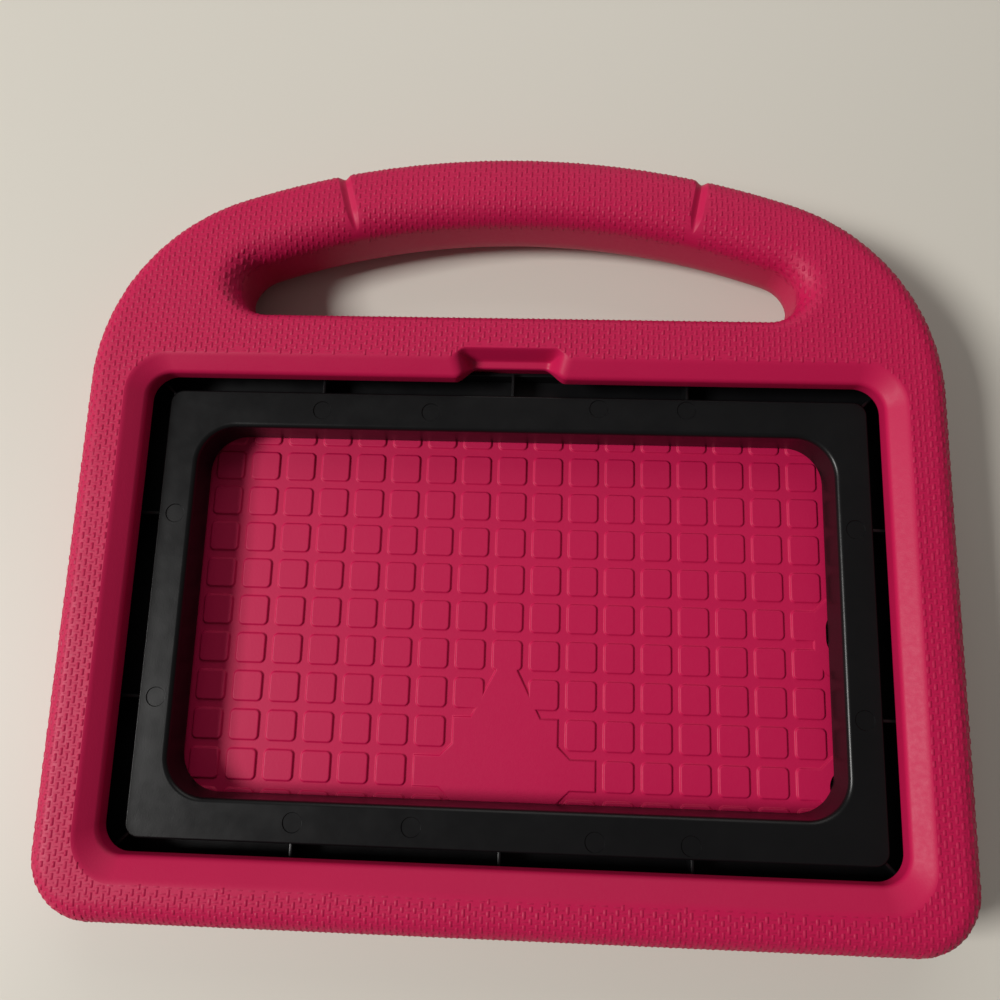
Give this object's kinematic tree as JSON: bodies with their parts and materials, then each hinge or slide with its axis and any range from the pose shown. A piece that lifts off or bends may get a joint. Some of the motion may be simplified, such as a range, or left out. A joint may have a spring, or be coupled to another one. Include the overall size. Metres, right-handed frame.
{
  "type": "kids tablet case",
  "caption": "Chunky moulded foam carry case for a small tablet, with an arched carry handle, a raised lip round the screen window and a plastic frame lying in the tablet bay.",
  "frame": {"origin": "middle of the back face, on the surface the case lies on", "axes": "+X to the right along the width, +Y up towards the handle, +Z out of the screen window"},
  "size_m": [0.1996, 0.1783, 0.024],
  "materials": {
    "foam": "matte pink foam, embossed with a basket weave on the front",
    "frame_plastic": "satin black"
  },
  "bodies": {
    "root": {"foam_shell": "foam", "inner_frame": "frame_plastic"}
  },
  "joints": []
}
